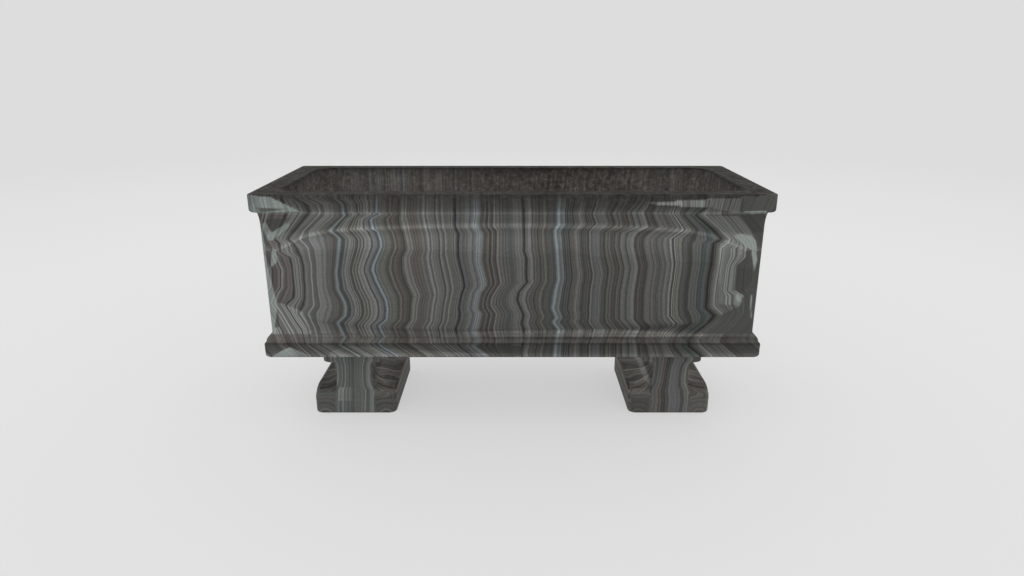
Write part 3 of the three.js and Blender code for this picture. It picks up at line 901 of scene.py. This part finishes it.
def foot_marks(places, half_x, half_deep, beside, faces_side, side, tones_and_painted_light, pale_and_sheen_patch):
    """A foot's band, tone, patina and figures: each region has a band of its own, a straight or
    curved distance through its layers, and a tone of its own, which is partly painted light and shade."""
    x, y, z = np.moveaxis(places, -1, 0)
    back = y + half_deep
    flare = (half_x[:, None] / neck_half_width) ** flare_power
    flare[:closing_steps] = flare[closing_steps]
    flare[-closing_steps:] = flare[-closing_steps - 1]
    band = x / flare + stem_lean_back * back - stem_lean_up * (z - neck_bottom)
    from_corner = np.hypot(np.abs(x) - corner_arc_centre, z + corner_arc_drop)
    on_base = beside * (1 - smooth_step(z, *base_fade))
    band += (corner_arc_start - corner_arc_rate * from_corner - band) * on_base
    beyond_stem = np.clip(np.abs(x) - stem_half_width, 0, None) + flank_bend_back * back
    flank = flank_start + flank_rise * z + flank_lean_back * back
    flank -= flank_bend * np.exp(-beyond_stem / flank_bend_reach)
    flank += wave_depth * np.sin(x * wave_across + y * wave_back)
    flank += ripple_depth * np.sin(y * ripple_back + z * ripple_up)
    flank = np.where(flank > flank_fold, 2 * flank_fold - flank, flank)
    below_cap = z < cap_bottom
    in_flank = (z > foot_front_height + flank_clearance) & below_cap & (beside > 0.5)
    on_side = faces_side & (z <= foot_base_height)
    band = np.where(faces_side | in_flank, flank, band)
    band = np.where(on_side, side_start + side_rise * z + side_lean_back * y, band)
    hollowed = beside * smooth_step(z, *hollow_fade) * below_cap * ~on_side
    outward = smooth_step(side * x, *outward_fade)
    # The tones paint light: the hollowed flanks are painted far lighter than the stem, most on the inner
    # side, which faces the other foot and lies in its shade, and the base's sides lighter too
    stem_tone, outer_base, inner_base, outer_flank, inner_flank, side_tone = tones_and_painted_light
    tone = stem_tone + (inner_base + (outer_base - inner_base) * outward - stem_tone) * on_base
    tone += (inner_flank + (outer_flank - inner_flank) * outward - tone) * hollowed
    tone *= np.where(on_side, side_tone, 1)
    marks = {figure: np.full(x.shape, -figure_far) for figure in figure_outlines}
    # A paler patch on each foot, in the frosted figure's colour: on the left foot a painted highlight on the
    # stem's flared foot, on the right a pale patch beside the stem
    low_x, high_x, low_z, high_z = pale_and_sheen_patch
    marks["frosted_and_sheen"] = pixels_per_metre * np.min([x - low_x, high_x - x, z - low_z, high_z - z], axis=0)
    marks["band"] = band
    marks["tone"] = np.where(marks["frosted_and_sheen"] > 0, patch_tone * tone, tone)
    marks["patina_and_shade"] = hollow_patina * hollowed + base_patina * on_base
    marks["streak"] = z
    return marks


def foot_object(node_name, tones_and_painted_light, pale_and_sheen_patch):
    """A foot's skin: rings round its plan, whose fronts and backs are pushed in by the setback of
    the stem or of the shoulders beside it, closed above and below on a line."""
    low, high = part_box(node_name)
    centre_x = (low.x + high.x) / 2
    half_foot = (high.x - low.x) / 2
    half_deep = (high.y - low.y) / 2
    half_x, height = foot_profile(half_foot, high.z - low.z).T
    under = np.clip(foot_bottom_radius - height, 0, None)
    half_y = half_deep - foot_bottom_radius + np.sqrt(foot_bottom_radius ** 2 - under ** 2)
    shrink = line(0, 1, closing_steps)[1:]
    opening = shrink[::-1] * half_x[0]
    closing = shrink * half_x[-1]
    half_x = np.concatenate([half_x[0] - opening, half_x, half_x[-1] - closing])
    half_y = np.concatenate([half_y[0] - opening, half_y, half_y[-1] - closing])
    height = np.pad(height, closing_steps, mode="edge")
    ease = (half_x - neck_half_width) / (half_foot - neck_half_width)
    base_radius = foot_corner_radius + (foot_base_corner_radius - foot_corner_radius) * ease
    radius = np.clip(np.where(height < neck_bottom, base_radius, foot_corner_radius), 0, half_x)
    columns = ring_columns(long_steps=52, short_steps=56, corner_steps=6)
    places = ring_places(columns, half_x, half_y, radius, height)
    beside = smooth_step(np.abs(places[..., 0]), stem_half_width, stem_half_width + stem_side_slope)
    stem = stem_setback_at(height)[:, None]
    setback = stem + (shoulder_setback_at(height)[:, None] - stem) * beside
    places[..., 1] *= 1 - setback / half_y[:, None]
    faces_side = np.abs(np.cos(np.radians(columns[:, 2]))) > faces_side_above
    marks = foot_marks(places, half_x, half_deep, beside, faces_side, np.sign(centre_x), tones_and_painted_light,
                       pale_and_sheen_patch)
    places = places + np.array([centre_x, 0, low.z])
    return skin_object(node_name + "_stone", places, marks)


left_layers = """
-130 brown -118 iron -108 umber -100 haze -96 iron -88 umber -80 bark -76 brown -70 bark -64 umber -60 iron
-56 umber -52 iron -49 moss -44 sea -38 moss -34 sea -30 moss -28 teal -26.5 deep -24 deep -22.5 teal
-21 mist -19 sea -15 moss -10 teal -5 moss 0 iron 4 iron 10 iron 15 iron 18 moss 22 iron 24 haze 26 teal
31 moss 36 sea 41 moss 45 iron 50 umber 55 olive 60 iron 66 moss 70 umber 76 iron 81 olive 86 iron 91 moss
96 iron 106 ash 110 iron 120 ash 130 iron
"""
right_layers = """
-130 umber -118 ash -108 iron -100 umber -96 haze -90 umber -84 umber -78 bark -72 brown -66 umber -60 brown
-54 iron -50 ash -47 haze -44 iron -38 iron -33 moss -28 iron -24 brown -20 mauve -15 mauve -12.5 umber
-11.2 black -9.6 umber -8.6 umber -7 black -5.6 bark -4.4 haze -3 iron 0 slate 6 ash 10 slate 14 mist
18.5 iron 20 haze 21.5 slate 27 iron 33 ash 38 iron 42 ash 46 iron 52 umber 58 brown 62 haze 66 olive
72 umber 76 brown 82 umber 88 ash 94 iron 102 umber 110 ash 120 iron 130 umber
"""
flank_layers = """
140 umber 150 iron 158 ash 162 umber 170 bark 178 iron 183 haze 187 umber 196 bark 203 umber 209 ash
213 umber 221 bark 230 umber 236 iron 240 haze 243 bark 250 umber 256 bark 264 black 270 brown 276 olive
282 bark 291 umber 296 haze 299 umber 308 black 315 bark 322 brown 328 olive 334 umber 342 bark 350 cream
353 bark 362 umber 370 black 378 brown 386 bark 395 ash 401 umber 410 bark 420 olive 426 umber 434 haze
438 bark 452 umber 460 ash 466 bark 480 umber 488 haze 493 umber 520 iron
"""
millimetre = 0.001
for node_name, slot, stops, tones_and_painted_light, patch in (
    ("left_foot", "left_foot_stone", left_layers, (1.34, 1.06, 1.00, 1.20, 2.48, 1.22),
     (-0.0445, -0.008, 0.037, 0.069)),
    ("right_foot", "right_foot_stone", right_layers, (1.16, 1.19, 0.88, 1.80, 2.90, 1.60),
     (-0.060, -0.050, 0.070, 0.095)),
):
    foot = foot_object(node_name, tones_and_painted_light, patch)
    foot.data.materials.append(stone_material(
        slot, stops + flank_layers, lambda place: place * millimetre,
        sheets_per_metre=170.0, sheet_contrast=0.26, leaf_contrast=0.70,
    ))
    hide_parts(node_name)
    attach(foot, "root")

# A thin bed of lime mortar levels the block on each foot. It is pressed between the two stones
# and struck off a little behind the cap's edge, so only its rim shows.
mortar, tree, matt = new_material("lime_mortar")
place = object_place(tree)
sand = noise(tree, place, scale=900.0, detail=3.0)
damp = noise(tree, place, scale=35.0, detail=3.0)
lime = blend_colours(tree, damp, opaque((116, 110, 100)), opaque((158, 152, 140)))
set_inputs(tree, matt, {
    "Base Color": scaled(tree, lime, span(tree, sand, 0.3, 0.7, 0.8, 1.15)), "Roughness": 0.95,
    "Normal": bump(tree, sand, distance=0.0006, strength=0.6),
})
for name in ("left_bed", "right_bed"):
    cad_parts[name].data.materials.clear()
    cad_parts[name].data.materials.append(mortar)

# Two blind dowels in each foot, sawn from drawn bronze rod, keep the block from sliding. Their
# sides carry the fine rings of the drawing die, dulled brown in places.
bronze, tree, metal = new_material("dull_bronze")
place = object_place(tree)
tarnish = noise(tree, place, scale=120.0, detail=4.0)
rings = noise(tree, node(tree, "ShaderNodeSeparateXYZ", {0: place}).outputs[2], scale=2500.0)
set_inputs(tree, metal, {
    "Base Color": blend_colours(tree, tarnish, opaque((112, 84, 48)), opaque((172, 136, 84))),
    "Roughness": span(tree, tarnish, 0.3, 0.7, 0.3, 0.6), "Metallic": 0.9,
    "Normal": bump(tree, rings, distance=0.0001, strength=0.5),
})
for name in ("left_front_dowel", "left_rear_dowel", "right_front_dowel", "right_rear_dowel"):
    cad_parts[name].data.materials.clear()
    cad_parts[name].data.materials.append(bronze)

# The studio: a plain pale floor that melts into a backdrop of the same paleness, under a soft sky
# that is brighter low down than overhead.
backdrop_level = 0.723
floor_radius = 6.0
floor_sides = 96
floor_fade_start = 2.2
floor_fade_end = 5.7
floor_albedo = 0.72
floor_seen_albedo = 0.30
floor_lift = 0.50
horizon_light = 1.72
zenith_light = 0.55
floor_light = 0.62
white = (1, 1, 1, 1)

turn = np.linspace(0, 2 * np.pi, floor_sides, endpoint=False)
rim = floor_radius * np.column_stack([np.cos(turn), np.sin(turn), np.zeros(floor_sides)])
floor_mesh = bpy.data.meshes.new("floor")
floor_mesh.from_pydata(rim.tolist(), [], [list(range(floor_sides))])
floor = bpy.data.objects.new("floor", floor_mesh)
bpy.context.scene.collection.objects.link(floor)
pale_floor, tree, paint = new_material("pale_floor")
rays = node(tree, "ShaderNodeLightPath").outputs
seen = maths(tree, "MAXIMUM", rays["Is Camera Ray"], rays["Is Glossy Ray"])
set_inputs(tree, paint, {
    "Base Color": blend_colours(tree, seen, (floor_albedo,) * 3 + (1,), (floor_seen_albedo,) * 3 + (1,)),
    "Roughness": 1.0, "Specular IOR Level": 0.0,
})
lift = node(tree, "ShaderNodeEmission", {"Strength": maths(tree, "MULTIPLY", seen, floor_lift)}).outputs[0]
lit = node(tree, "ShaderNodeAddShader", {
    0: tree.nodes["Principled BSDF"].outputs[0], 1: lift,
}).outputs[0]
away = node(tree, "ShaderNodeVectorMath", {0: object_place(tree)}, operation="LENGTH").outputs["Value"]
gone = span(tree, away, floor_fade_start, floor_fade_end)
clear = node(tree, "ShaderNodeBsdfTransparent").outputs[0]
faded = node(tree, "ShaderNodeMixShader", {0: gone, 1: lit, 2: clear}).outputs[0]
set_inputs(tree, tree.nodes["Material Output"].inputs, {"Surface": faded})
floor_mesh.materials.append(pale_floor)

world = bpy.data.worlds.new("soft_sky")
bpy.context.scene.world = world
world.use_nodes = True
tree = world.node_tree
tree.nodes.remove(tree.nodes["Background"])
direction = node(tree, "ShaderNodeTexCoord").outputs["Generated"]
upward = node(tree, "ShaderNodeSeparateXYZ", {0: direction}).outputs[2]
sky_light = node(tree, "ShaderNodeMix", {
    0: maths(tree, "LESS_THAN", upward, 0.0), 2: span(tree, upward, 0.0, 1.0, horizon_light, zenith_light),
    3: floor_light,
}, data_type="FLOAT").outputs[0]
sky = node(tree, "ShaderNodeBackground", {"Color": white, "Strength": sky_light}).outputs[0]
plain = node(tree, "ShaderNodeBackground", {"Color": white, "Strength": backdrop_level}).outputs[0]
rays = node(tree, "ShaderNodeLightPath").outputs
seen = maths(tree, "MAXIMUM", rays["Is Camera Ray"], maths(
    tree, "MAXIMUM", rays["Is Glossy Ray"], rays["Is Transmission Ray"]))
shown = node(tree, "ShaderNodeMixShader", {0: seen, 1: sky, 2: plain}).outputs[0]
set_inputs(tree, tree.nodes["World Output"].inputs, {"Surface": shown})

bpy.context.scene.view_settings.view_transform = "Standard"
